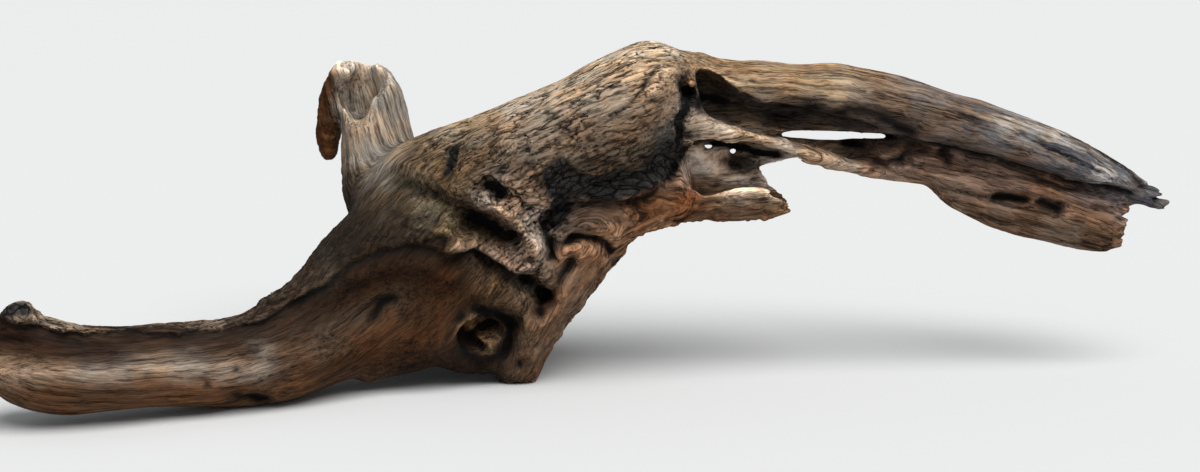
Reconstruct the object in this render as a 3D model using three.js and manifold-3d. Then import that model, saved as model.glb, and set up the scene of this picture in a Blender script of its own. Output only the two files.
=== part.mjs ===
// A weathered piece of driftwood, grown as one piece: a root arm on the left, a gnarled crown in the
// middle, a broken hollow branch behind it, and on the right what is left of a hollow log, which is a
// beam over a split plank, with a spur in front and a torn jaw below.
//
// Everything is in millimetres, +Z up. The wood is laid out on a floor at z = 0, with x = 0 near the
// middle. At the end its feet are worn flat and the origin goes to the bottom centre of its own box.

import * as THREE from 'three';
import { LoftGeometry } from 'three/addons/geometries/LoftGeometry.js';
import { SimplexNoise } from 'three/addons/math/SimplexNoise.js';
import { mergeVertices } from 'three/addons/utils/BufferGeometryUtils.js';
import Module from 'manifold-3d';

// Driving dimensions.
const facet = 16;           // width of a facet round a limb
const fewestSides = 10;     // sides of the thinnest limbs
const mostSides = 22;       // and of the thickest
const stepAlong = 16;       // distance between two sections of a limb
const swell = 2.0;          // how far the surface swells in and out
const swellLength = 38;     // and over what distance
const jawWall = 11;         // thickness of the torn shell under the log's hollow
const shellSides = 14;      // points round that shell's outside, and again round its inside
const wormHole = 3;         // radius of the holes through the rear wall
const wormHoleSides = 10;
const pitSides = 16;        // round a pit, and pitRings from end to end of it
const pitRings = 10;
const cutDepth = 60;        // how deep a torn edge is cut through
const steadyCore = 20;      // radius inside which the swelling fades out
const weld = 1e-3;          // points nearer than this are one point
const floorSize = [1200, 800, 100];

const grainSeed = 11;
THREE.MathUtils.seededRandom(grainSeed);
const noise = new SimplexNoise({ random: () => THREE.MathUtils.seededRandom() });

const wasm = await Module();
wasm.setup();

// A limb is a list of stations from one end to the other: [x, y, z, half depth, half height].
// Half depth runs across the limb, mostly along y, and half height is square to that and to the limb.
const arm = [
  [-428, -168, 55, 20, 20], [-413, -166, 53, 27, 28], [-398, -163, 46, 31, 33],
  [-377, -158, 41, 34, 34], [-346, -146, 37, 36, 29], [-308, -128, 35, 38, 29],
  [-269, -108, 32, 40, 32], [-239, -92, 34, 44, 37], [-212, -72, 45, 48, 42],
  [-188, -52, 58, 56, 51], [-156, -28, 78, 64, 61], [-123, -10, 98, 70, 65],
];
const armKnob = [[-402, -170, 70, 16, 14], [-402, -170, 82, 14, 13], [-402, -170, 90, 9, 9]];
const armStub = [[-214, -74, 84, 12, 9], [-230, -80, 79, 7, 6], [-243, -82, 75, 5, 4], [-255, -84, 70, 2, 2]];
const core = [
  [-180, 4, 62, 60, 50], [-140, 10, 68, 72, 54], [-93, 10, 74, 74, 58], [-47, 2, 99, 70, 47],
  [-4, 0, 127, 62, 33], [31, -2, 136, 54, 24], [70, -2, 138, 44, 17],
];
const waist = [
  [-98, 0, 110, 62, 38], [-54, -2, 124, 63, 36], [-12, -4, 140, 60, 30], [30, -6, 150, 54, 26],
  [66, -8, 152, 42, 20],
];
const hump = [
  [-178, 4, 110, 58, 32], [-139, 10, 132, 72, 44], [-100, 11, 149, 80, 45], [-62, 4, 161, 83, 47],
  [-27, -2, 174, 80, 49], [8, -8, 193, 72, 49], [34, -8, 207, 66, 48], [54, -6, 213, 55, 42],
  [68, -3, 215, 42, 31],
];
const root = [
  [-2, -14, 116, 36, 26], [-23, -24, 86, 36, 23], [-44, -32, 55, 34, 21], [-56, -34, 31, 29, 19],
  [-63, -34, 10, 21, 17], [-66, -33, -6, 14, 14],
];
const belly = [
  [-184, -64, 42, 30, 38], [-152, -52, 46, 36, 36], [-121, -42, 48, 40, 34], [-98, -38, 42, 38, 36],
  [-78, -36, 42, 34, 34],
];
const rearFoot = [[-70, 36, 88, 50, 48], [-80, 58, 44, 44, 38], [-84, 72, 14, 36, 26], [-85, 74, -8, 34, 24]];
const branch = [
  [-155, 35, 105, 46, 38], [-172, 52, 138, 38, 34], [-179, 64, 168, 34, 30],
  [-182, 72, 194, 31, 28], [-188, 78, 214, 28, 25], [-193, 82, 228, 20, 17],
];
const branchFlap = [
  [-196, 82, 227, 18, 8], [-206, 84, 228, 16, 8], [-213, 86, 218, 16, 11], [-217, 88, 202, 16, 12],
  [-221, 88, 180, 16, 11], [-221, 86, 163, 13, 9], [-220, 85, 153, 8, 5],
];
const beam = [
  [31, 0, 212, 58, 40], [69, 5, 219, 48, 28], [100, 8, 216, 42, 25], [146, 10, 213, 38, 26],
  [193, 12, 211, 36, 26], [232, 14, 203, 34, 25], [271, 16, 193, 32, 23], [311, 18, 182, 30, 21],
  [351, 20, 168, 27, 19], [387, 22, 154, 22, 16], [416, 24, 140, 16, 13], [441, 26, 127, 6, 3],
];
const plank = [
  [157, 28, 170, 8, 8], [195, 20, 168, 10, 13], [233, 14, 161, 14, 17], [258, 12, 157, 15, 15],
  [276, 12, 147, 16, 20], [300, 13, 138, 16, 26], [351, 15, 124, 16, 27], [391, 17, 115, 15, 25],
  [407, 18, 112, 13, 23],
];
const rearWall = [
  [26, 30, 170, 12, 32], [48, 34, 176, 10, 34], [79, 38, 184, 7, 30], [114, 38, 182, 6, 31],
  [140, 35, 180, 6, 27], [152, 34, 184, 6, 24], [195, 26, 187, 7, 20],
];
const spur = [
  [45, -25, 196, 18, 17], [67, -42, 197, 13, 12], [90, -40, 193, 10, 9], [113, -34, 188, 8, 6],
  [132, -28, 183, 7, 6], [152, -20, 175, 7, 7], [172, -10, 167, 8, 8], [192, 0, 161, 9, 7],
  [217, 6, 155, 9, 7],
];

// The jaw is an open shell, so its stations go on with the angles where it starts and ends, in degrees
// from its back, with the bottom at -90.
const jaw = [
  [23, 0, 158, 48, 46, -170, 20], [50, 0, 159, 46, 44, -168, 20], [77, 0, 161, 44, 43, -150, 10],
  [104, -2, 161, 42, 43, -162, 5], [127, -4, 160, 40, 40, -164, 0], [152, -8, 154, 36, 33, -164, 0],
];

// Hollows are limbs of air.
const armScoop = [
  [-419, -204, 61, 28, 14], [-365, -202, 61, 30, 14], [-309, -184, 58, 32, 14],
  [-250, -166, 56, 36, 17], [-211, -146, 62, 40, 25], [-178, -128, 70, 42, 36],
  [-144, -114, 72, 42, 40], [-112, -104, 72, 34, 30], [-86, -94, 72, 20, 16], [-66, -88, 72, 7, 5],
];
const logHollow = [
  [20, -18, 208, 22, 16], [54, -26, 211, 34, 24], [74, -27, 212, 40, 26], [94, -26, 206, 42, 19],
  [114, -20, 201, 38, 14], [137, -14, 199, 34, 12], [183, -6, 194, 26, 8], [219, 2, 188, 14, 3],
];
const beamChannel = [
  [206, 44, 203, 22, 11], [260, 42, 191, 28, 12], [311, 44, 180, 26, 12], [360, 44, 162, 20, 9],
  [398, 42, 148, 10, 4],
];
const branchHollow = [[-198, 72, 238, 18, 16], [-194, 70, 212, 18, 18], [-188, 68, 190, 14, 11]];
const charGroove = [
  [-44, -80, 152, 5, 4], [-26, -80, 146, 10, 6], [9, -79, 143, 13, 7], [38, -74, 150, 13, 7],
  [62, -58, 178, 10, 5],
];
const slit = [[140, 22, 182, 30, 1], [163, 22, 183, 30, 2.6], [194, 22, 182, 30, 2.4], [224, 20, 179, 30, 1]];

// Rounded pits: [x, y, z, half width, half depth, half height].
const pits = [
  [-89, -58, 42, 21, 34, 14],
  [-65, -78, 128, 14, 20, 8],
  [-84, -80, 93, 17, 18, 7],
  [-41, -60, 69, 9, 26, 8],
  [65, -48, 222, 6, 14, 9],
];

// Holes that beetles left in the rear wall: [x, y, z] of their middles. They run along y.
const wormHoles = [[85, 38, 171], [106, 38, 167]];

// Torn ends, as outlines in x and z that are cut away along y, from each of these fronts.
const jawTearFronts = [-60, 0];
const branchTearFront = 10;
const jawTear = [
  [128, 176], [126, 154], [130, 146], [134, 142], [141, 135], [147, 126], [140, 115], [135, 100],
  [190, 100], [190, 176],
];
const branchTear = [
  [-217, 197], [-205, 204], [-189, 186], [-178, 216], [-173, 209], [-166, 226], [-160, 250],
  [-217, 250],
];

// Rings of points carried along a smooth curve through the stations, each ring square to the curve and
// pushed in and out by noise.
function sweep(stations, ringAt) {
  const path = new THREE.CatmullRomCurve3(stations.map(([x, y, z]) => new THREE.Vector3(x, y, z)));
  const girth = new THREE.CatmullRomCurve3(stations.map((s) => new THREE.Vector3(s[3], s[4], 0)));
  const opening = new THREE.CatmullRomCurve3(stations.map((s) => (
    new THREE.Vector3(s[5] ?? 0, s[6] ?? 0, 0)
  )));
  const rows = Math.ceil(path.getLength() / stepAlong);
  const sections = [];
  for (let row = 0; row <= rows; row++) {
    const t = row / rows;
    const centre = path.getPoint(t);
    const along = path.getTangent(t);
    const across = new THREE.Vector3(0, 1, 0).projectOnPlane(along).normalize();
    const up = along.clone().cross(across);
    const { x: deep, y: tall } = girth.getPoint(t);
    const at = (angle, inset = 0) => centre.clone()
      .addScaledVector(across, (deep - inset) * Math.cos(angle))
      .addScaledVector(up, (tall - inset) * Math.sin(angle));
    sections.push(ringAt(at, opening.getPoint(t)).map((point) => swollen(point, centre)));
  }
  return new LoftGeometry(sections, { capStart: true, capEnd: true });
}

function limb(stations) {
  const thickest = Math.max(...stations.map((s) => (s[3] + s[4]) / 2));
  const sides = THREE.MathUtils.clamp(Math.round((2 * Math.PI * thickest) / facet), fewestSides, mostSides);
  return sweep(stations, (at) => Array.from({ length: sides }, (_, i) => at((i / sides) * 2 * Math.PI)));
}

// The outer arc one way, then the inner arc back.
function shell(stations, wall) {
  return sweep(stations, (at, { x: from, y: to }) => {
    const angles = Array.from({ length: shellSides }, (_, i) => (
      THREE.MathUtils.degToRad(from + ((to - from) * i) / (shellSides - 1))
    ));
    return [...angles.map((a) => at(a)), ...angles.reverse().map((a) => at(a, wall))];
  });
}

function swollen(point, centre) {
  const wave = noise.noise3d(point.x / swellLength, point.y / swellLength, point.z / swellLength);
  const outward = point.clone().sub(centre);
  const reach = outward.length();
  return point.addScaledVector(outward, swell * wave * Math.min(1, reach / steadyCore) / reach);
}

function pit([x, y, z, width, depth, height]) {
  return new THREE.SphereGeometry(1, pitSides, pitRings).scale(width, depth, height).translate(x, y, z);
}

// An outline in x and z, given depth along y from the front of the wood to its back.
function tearCutter(outline, front) {
  const shape = new THREE.Shape(outline.map(([x, z]) => new THREE.Vector2(x, z)));
  const cutter = new THREE.ExtrudeGeometry(shape, { depth: cutDepth, bevelEnabled: false });
  return cutter.rotateX(Math.PI / 2).translate(0, front + cutDepth, 0);
}

function solid(geometry) {
  const bare = new THREE.BufferGeometry().setAttribute('position', geometry.attributes.position);
  const merged = mergeVertices(bare.setIndex(geometry.index), weld);
  return new wasm.Manifold(new wasm.Mesh({
    numProp: 3,
    vertProperties: merged.attributes.position.array,
    triVerts: new Uint32Array(merged.index.array),
  }));
}

const union = (solids) => solids.reduce((a, b) => a.add(b));
const without = (wood, cutters) => cutters.reduce((a, b) => a.subtract(b), wood);

function brokenBranch() {
  const torn = solid(tearCutter(branchTear, branchTearFront));
  return without(solid(limb(branch)), [solid(limb(branchHollow)), torn]).add(solid(limb(branchFlap)));
}

function hollowLog() {
  const walls = union([beam, rearWall, plank].map((stations) => solid(limb(stations))));
  const holes = wormHoles.map(([x, y, z]) => solid(
    new THREE.CylinderGeometry(wormHole, wormHole, cutDepth, wormHoleSides).translate(x, y, z),
  ));
  const air = [logHollow, beamChannel, slit].map((stations) => solid(limb(stations)));
  const tears = jawTearFronts.map((front) => solid(tearCutter(jawTear, front)));
  const tornJaw = without(solid(shell(jaw, jawWall)), [union(tears)]);
  return union([without(walls, air.concat(holes)), tornJaw, solid(limb(spur))]);
}

function crown() {
  const grown = [arm, armKnob, armStub, core, waist, hump, root, belly, rearFoot];
  const lumps = union(grown.map((stations) => solid(limb(stations))));
  return without(lumps, [armScoop, charGroove].map((stations) => solid(limb(stations))));
}

const whole = without(union([crown(), brokenBranch(), hollowLog()]), pits.map((p) => solid(pit(p))));

// Wears the feet flat at the floor, then sets the origin.
const floorBox = new THREE.BoxGeometry(...floorSize).translate(0, 0, -floorSize[2] / 2);
const mesh = without(whole, [solid(floorBox)]).getMesh();
const geometry = new THREE.BufferGeometry()
  .setAttribute('position', new THREE.BufferAttribute(new Float32Array(mesh.vertProperties), 3))
  .setIndex(new THREE.BufferAttribute(new Uint32Array(mesh.triVerts), 1));
geometry.computeBoundingBox();
const { min, max } = geometry.boundingBox;
geometry.translate(-(min.x + max.x) / 2, -(min.y + max.y) / 2, -min.z);
geometry.computeVertexNormals();

const weathered = new THREE.MeshStandardMaterial({ color: 0x8a7053, roughness: 0.9, metalness: 0 });
const driftwood = new THREE.Mesh(geometry, weathered);
driftwood.name = 'driftwood';

const group = new THREE.Group();
group.add(driftwood);
export default group;
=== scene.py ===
import math

import bpy
import numpy as np
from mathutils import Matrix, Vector


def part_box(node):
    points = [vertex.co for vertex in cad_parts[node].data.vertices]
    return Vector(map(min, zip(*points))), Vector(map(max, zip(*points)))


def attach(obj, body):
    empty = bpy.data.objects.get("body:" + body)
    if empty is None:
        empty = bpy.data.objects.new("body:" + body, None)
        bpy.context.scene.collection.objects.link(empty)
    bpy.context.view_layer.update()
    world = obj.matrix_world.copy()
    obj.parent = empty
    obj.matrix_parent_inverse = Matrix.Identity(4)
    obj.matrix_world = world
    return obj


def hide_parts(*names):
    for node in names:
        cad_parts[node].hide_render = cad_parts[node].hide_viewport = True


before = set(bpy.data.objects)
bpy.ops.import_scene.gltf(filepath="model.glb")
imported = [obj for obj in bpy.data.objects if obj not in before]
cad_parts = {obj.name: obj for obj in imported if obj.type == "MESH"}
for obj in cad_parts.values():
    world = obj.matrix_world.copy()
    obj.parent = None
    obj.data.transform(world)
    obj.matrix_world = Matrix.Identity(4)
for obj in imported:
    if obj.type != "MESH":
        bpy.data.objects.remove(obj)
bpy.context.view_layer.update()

# Everything is in metres, in the row's frame: the origin is under the middle of the wood, on the floor.
low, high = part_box("driftwood")
base = Vector(((low.x + high.x) / 2, (low.y + high.y) / 2, low.z))

# What a user would change about the wood. Lengths are in metres, colours are linear.
driftwood = {
    "coarseVoxel": .0025,       # first skin, which takes the broad shapes
    "fineVoxel": .0018,         # second skin, which takes the fine ones
    "smoothing": 16,            # rounds that melt the facets and the seams between limbs
    "faceLimit": 190000,        # triangles kept in the end
    "grainStep": .004,          # length of the steps that a limb's line is cut into
    "grainRounds": 30,          # rounds that take the corners off that line
    "grainBlend": .010,         # how gently the grain of one limb passes into the next

    "lumps": .0030,             # heights of the broad relief
    "folds": .0034,
    "flutes": .0011,
    "crownFlutes": .0012,       # added to the flutes on the crown
    "ropes": .0013,
    "backRimLift": .0055,
    "crestLift": .0038,
    "slitPinch": .0017,         # how far the slit's two edges close in
    "calmArm": .75,             # share of the broad relief that the bare arm goes without

    "barkCrack": .0011,         # heights and depths of the fine relief
    "barkScale": .0007,
    "charBlock": .0016,
    "charCrack": .0020,
    "tornRidge": .0022,
    "tornLump": .0012,
    "fibreRidge": .00045,
    "branchLump": .0006,
    "plateCrack": .0016,
    "tipFlake": .0013,
    "burr": .0026,
    "crumb": .0022,

    "plankFray": .0040,         # how unevenly each broken end stops
    "tipFray": .0016,
    "jawFray": .0044,
    "branchFray": .0022,
    "tipStart": .405,           # x where the beam's tip starts, and how much longer and lower it is drawn
    "tipDraw": .12,
    "tipDrop": .16,

    # the dark marks are mostly painted shade
    "darkness": 1.12,           # strength of the dark marks, and how much it wanders
    "darkWander": .40,
    "wideCavity": .0024,        # depths that count as a full cavity, wide and near
    "nearCavity": .0008,
    # darkness of the painted shade in the hollows
    "hollowShade": .56,
    "soot": .60,
    "plainTint": (.15, .108, .076),
    "plainShare": .03,          # weight of the plain tint among the zones
    "zoneWobble": .006,

    "fibre": .0011,             # widths of the threads, streaks and spots in the material
    "hair": .0020,
    "speck": .0022,
    "wrinkle": .0036,
    "streak": .0042,
    "block": .0060,
    "meander": .012,
    "stain": .013,
    "band": .014,
    "patch": .032,
    "drift": .020,              # patches in which the grain wanders, and how far: also in bark and torn wood
    "grainDrift": .0030,
    "barkDrift": .0045,
    "tornDrift": .0030,
    "bumpDistance": .0018,
    "bumpStrength": .9,
    "specular": .08,
    "warm": (1.10, .97, .84),
    "cool": (.93, 1.0, 1.08),
    "tipStain": (.052, .053, .062),
    "coal": (.021, .0195, .0185),
    "coalCrack": (.002, .002, .002),
    "crackBrown": (.010, .006, .004),
    "hairBrown": (.012, .007, .004),
    # painted shade in the hollows
    "cavityShade": (.006, .004, .003),
    # painted shade, cracks and soot are drawn in this near black
    "shadeCrackAndSootBlack": (.0042, .0038, .0036),
}


def chance(i, j, k, seed):
    # one fixed number from 0 to 1 for each corner of the lattice: large odd numbers stir its place, its
    # seed and the shifted result together, so the same corner gives the same number on every run
    h = (i * 374761393 + j * 668265263 + k * 1440662683 + seed * 974634777) & 0xFFFFFFFF
    h = ((h ^ (h >> 13)) * 1274126177) & 0xFFFFFFFF
    h = ((h ^ (h >> 16)) * 2246822519) & 0xFFFFFFFF
    return (h ^ (h >> 15)) / 4294967296.0


def wave(points, size, seed=0):
    # smooth noise from -1 to 1: the eight lattice corners round a point, blended by 6t^5 - 15t^4 + 10t^3
    q = points / np.asarray(size, float) + 100.0
    cell = np.floor(q).astype(np.int64)
    t = q - cell
    t = t * t * t * (t * (t * 6 - 15) + 10)
    total = np.zeros(len(points))
    for di in (0, 1):
        for dj in (0, 1):
            for dk in (0, 1):
                share = (
                    (t[:, 0] if di else 1 - t[:, 0])
                    * (t[:, 1] if dj else 1 - t[:, 1])
                    * (t[:, 2] if dk else 1 - t[:, 2])
                )
                total += share * chance(cell[:, 0] + di, cell[:, 1] + dj, cell[:, 2] + dk, seed)
    return total * 2 - 1


def waves(points, size, octaves=3, seed=0, keep=0.5):
    # each octave is half as large and keep times as strong as the one before
    total, weight = np.zeros(len(points)), 0.0
    for octave in range(octaves):
        total += keep ** octave * wave(points, np.asarray(size, float) / 2 ** octave, seed + 17 * octave)
        weight += keep ** octave
    return total / weight


def cells(points, size, seed=0):
    # distance to the wall between the two nearest of a scatter of seeds, and a number for the nearest one
    q = points / np.asarray(size, float) + 100.0
    cell = np.floor(q).astype(np.int64)
    nearest = np.full(len(points), 9.0)
    second = np.full(len(points), 9.0)
    name = np.zeros(len(points))
    for di in (-1, 0, 1):
        for dj in (-1, 0, 1):
            for dk in (-1, 0, 1):
                i, j, k = cell[:, 0] + di, cell[:, 1] + dj, cell[:, 2] + dk
                dx = i + chance(i, j, k, seed) - q[:, 0]
                dy = j + chance(i, j, k, seed + 1) - q[:, 1]
                dz = k + chance(i, j, k, seed + 2) - q[:, 2]
                d = np.sqrt(dx * dx + dy * dy + dz * dz)
                closer = d < nearest
                second = np.where(closer, nearest, np.minimum(second, d))
                name = np.where(closer, chance(i, j, k, seed + 3), name)
                nearest = np.where(closer, d, nearest)
    return second - nearest, name


def ease(x, start, end):
    # 0 up to start, 1 from end on, smooth between; start may be above end
    t = np.clip((x - start) / (end - start), 0, 1)
    return t * t * (3 - 2 * t)


def bell(x, middle, width):
    # 1 in the middle, falling away on both sides by exp(-((x - middle) / width)^2)
    return np.exp(-((x - middle) / width) ** 2)


# Lines that the limbs grow along, from one end to the other. Each comes with the radius that it rules.
limbs = {
    "stem": (0.045, [
        (-.434, -.126, .055), (-.352, -.104, .037), (-.274, -.066, .033), (-.218, -.030, .048),
        (-.162, .014, .085), (-.105, .047, .135), (-.033, .042, .176), (.032, .038, .206),
        (.095, .050, .216), (.188, .054, .211), (.265, .058, .193), (.345, .062, .168), (.436, .068, .127),
    ]),
    "jaw": (0.022, [
        (-.065, .040, .100), (-.010, .040, .127), (.030, .038, .138), (.072, .040, .142),
        (.140, .040, .146), (.212, .052, .157), (.295, .055, .138), (.405, .060, .112),
    ]),
    "branch": (0.028, [(-.150, .062, .080), (-.176, .092, .138), (-.186, .108, .180), (-.200, .124, .230)]),
    "root": (0.020, [(.010, .030, .130), (-.030, .018, .087), (-.050, .010, .055), (-.071, .008, .000)]),
    "rearFoot": (0.030, [(-.070, .070, .110), (-.082, .098, .050), (-.090, .116, .000)]),
}


def samples(points):
    # the line through the points, cut into equal steps and smoothed, with the frame carried along it:
    # along it, across it towards +Y, and up, which is square to both
    p = np.array(points)
    length = np.concatenate([[0], np.cumsum(np.linalg.norm(np.diff(p, axis=0), axis=1))])
    s = np.linspace(0, length[-1], max(8, int(length[-1] / driftwood["grainStep"])))
    line = np.stack([np.interp(s, length, p[:, k]) for k in range(3)], 1)
    for _ in range(driftwood["grainRounds"]):
        line[1:-1] = (line[:-2] + line[1:-1] + line[2:]) / 3
    along = np.gradient(line, axis=0)
    along /= np.linalg.norm(along, axis=1)[:, None]
    across = np.array([0, 1.0, 0]) - along * along[:, 1:2]
    across /= np.linalg.norm(across, axis=1)[:, None]
    return line, s, along, across, np.cross(along, across)


def nearestSample(points, line):
    # which sample of the line is nearest to each point, and how far it is; the points go in batches,
    # which keeps the table of distances small
    found = np.empty(len(points), int)
    gap = np.empty(len(points))
    batch = 20000
    for start in range(0, len(points), batch):
        part = points[start:start + batch]
        d = ((part[:, None, :] - line[None, :, :]) ** 2).sum(2)
        found[start:start + batch] = d.argmin(1)
        gap[start:start + batch] = np.sqrt(d.min(1))
    return found, gap


def limbPlace(points, name):
    # how far along the limb a point is, how far across and how far up, and how far outside its radius
    radius, line = limbs[name]
    line, s, along, across, up = samples(line)
    i, gap = nearestSample(points, line)
    off = points - line[i]
    place = np.stack([s[i] + (off * along[i]).sum(1), (off * across[i]).sum(1), (off * up[i]).sum(1)], 1)
    return place, gap - radius


def grainPlace(points):
    # the limbs' places, each shifted so that it takes over from the stem where it starts, and blended by
    # how near each limb is
    total, weight = np.zeros_like(points), np.zeros(len(points))
    for name, (_, line) in limbs.items():
        place, gap = limbPlace(points, name)
        if name != "stem":
            place = place + limbPlace(np.array(line[:1]), "stem")[0]
        share = np.exp(-np.clip(gap, -.02, .2) / driftwood["grainBlend"])     # no stronger deeper inside
        total += share[:, None] * place
        weight += share
    return total / weight[:, None]


def lineReach(x, z, points):
    # how far a point is from the nearest of a line's straight stretches, and how far above that stretch
    best = np.full(len(x), 9.0)
    above = np.zeros(len(x))
    for (x0, z0), (x1, z1) in zip(points, points[1:] if len(points) > 1 else points):
        dx, dz = x1 - x0, z1 - z0
        t = np.clip(((x - x0) * dx + (z - z0) * dz) / max(dx * dx + dz * dz, 1e-12), 0, 1)
        gap = np.hypot(x - x0 - t * dx, z - z0 - t * dz)
        side = (dx * (z - z0) - dz * (x - x0)) / max(math.hypot(dx, dz), 1e-9)
        above = np.where(gap < best, side, above)
        best = np.minimum(best, gap)
    return best, above


# Lines on the shown side, in x and z: the bark's rim over the arm's bare hollow, the lip that it ends in, the
# edge of the beam over the plank, and the foot and head of the charred band.
rim = [
    (-.440, .081), (-.413, .079), (-.396, .074), (-.374, .069), (-.350, .066), (-.320, .062), (-.295, .060),
    (-.273, .060), (-.250, .065), (-.223, .078), (-.203, .090), (-.186, .102), (-.164, .111), (-.144, .115),
    (-.119, .109),
]
lip = [
    (-.119, .108), (-.108, .110), (-.098, .111), (-.088, .106), (-.079, .101), (-.070, .095), (-.060, .094),
]
slitEdge = [
    (.150, .187), (.185, .187), (.209, .184), (.232, .184), (.257, .178), (.279, .173), (.303, .169),
    (.325, .160), (.348, .154), (.378, .147), (.400, .142),
]
charFoot = [
    (-.040, .138), (-.030, .142), (-.018, .143), (.006, .143), (.027, .145), (.040, .152), (.048, .166),
]
charHead = [
    (-.044, .163), (-.037, .171), (-.028, .172), (-.020, .168), (-.010, .164), (.006, .166), (.024, .171),
    (.036, .179), (.046, .186),
]
# More lines: the seam of grey wood at the crown's end, the torn wood's run and its rise beside the char, the
# front root, the row of thick bark plates, and the bare chip in the charred scar.
greySeam = [(.052, .238), (.045, .222), (.044, .205), (.040, .190)]
tornRun = [(-.030, .112), (.005, .120), (.040, .134), (.075, .130)]
tornRise = [(.052, .172), (.058, .150), (.062, .132)]
rootRun = [(-.020, .088), (-.045, .055), (-.066, .015)]
plateRow = [(-.088, .152), (-.062, .147), (-.046, .137), (-.040, .128)]
spurTop = ((.050, .190), (.203, .164))      # the x and then the z of the spur's two ends
beamLine = (.30, -.42)                      # height at x = 0 and slope of a line along the beam
chipLine = [(.0590, .2300), (.0615, .2285)]
chipSpot = (.0602, .2293, .0032)            # x, z and radius of what the bare chip clears of char

# What ease() goes between: a stretch of x, y or z, a distance from a line (for char and soot, in that line's
# own widths), or for a face how far it looks the named way, from -1 to 1.
fades = {
    "pressedFace": (-.05, .35),
    "markedFace": (-.50, .00),
    "tintedFace": (-.35, .15),
    "frontFace": (-.30, .20),
    "hollowFace": (.05, .45),
    "underLine": (.0004, -.0014),
    "charEdge": (1.15, .75),
    "sootEdge": (1.90, .80),
    "armX": (-.085, -.115),
    "underRimZ": (-.001, .003),
    "branchX": (-.140, -.156),
    "branchZ": (.118, .140),
    "greyX": (.190, .330),
    "greyOverBeamLine": (-.030, .010),
    "tornRunGap": (.030, .016),
    "tornRiseGap": (.012, .007),
    "tornEndX": (.070, .090),
    "rootGap": (.018, .010),
    "logX": (.058, .078),
    "plateGap": (.015, .009),
    "waistLeftX": (-.235, -.205),
    "waistRightX": (-.050, -.085),
    "waistZ": (.176, .156),
    "crumblyX": (-.190, -.240),
    "overRimZ": (.002, .006),
    "overSpurZ": (-.003, .003),
    "crownLeftX": (-.200, -.150),
    "crownRightX": (.085, .055),
    "crownFootZ": (.215, .165),
    "backRimY": (.116, .128),
    "backRimZ": (.200, .224),
    "crestZ": (.200, .245),
    "slitLeftX": (.125, .140),
    "slitRightX": (.225, .210),
    "slitFrontY": (.020, .035),
    "slitBackY": (.115, .100),
    "beamEndX": (.300, .370),
    "beamEndZ": (.130, .142),
    "downFace": (.30, .80),
    "bellyLeftX": (-.030, .000),
    "bellyRightX": (.135, .120),
    "bellyZ": (.095, .105),
    "rightFace": (.10, .50),
    "rootLeftX": (-.080, -.065),
    "rootRightX": (.030, .020),
    "rootFootZ": (.012, .030),
    "rootHeadZ": (.150, .135),
    "plankX": (.378, .400),
    "plankZ": (.146, .140),
    "tipX": (.400, .435),
    "tipZ": (.100, .115),
    "jawLeftX": (.108, .140),
    "jawRightX": (.165, .155),
    "jawZ": (.180, .172),
    "branchEndX": (-.150, -.160),
    "branchEndZ": (.180, .212),
}


def fade(values, name):
    # from 0 to 1 over one of those stretches
    return ease(values, *fades[name])
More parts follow.
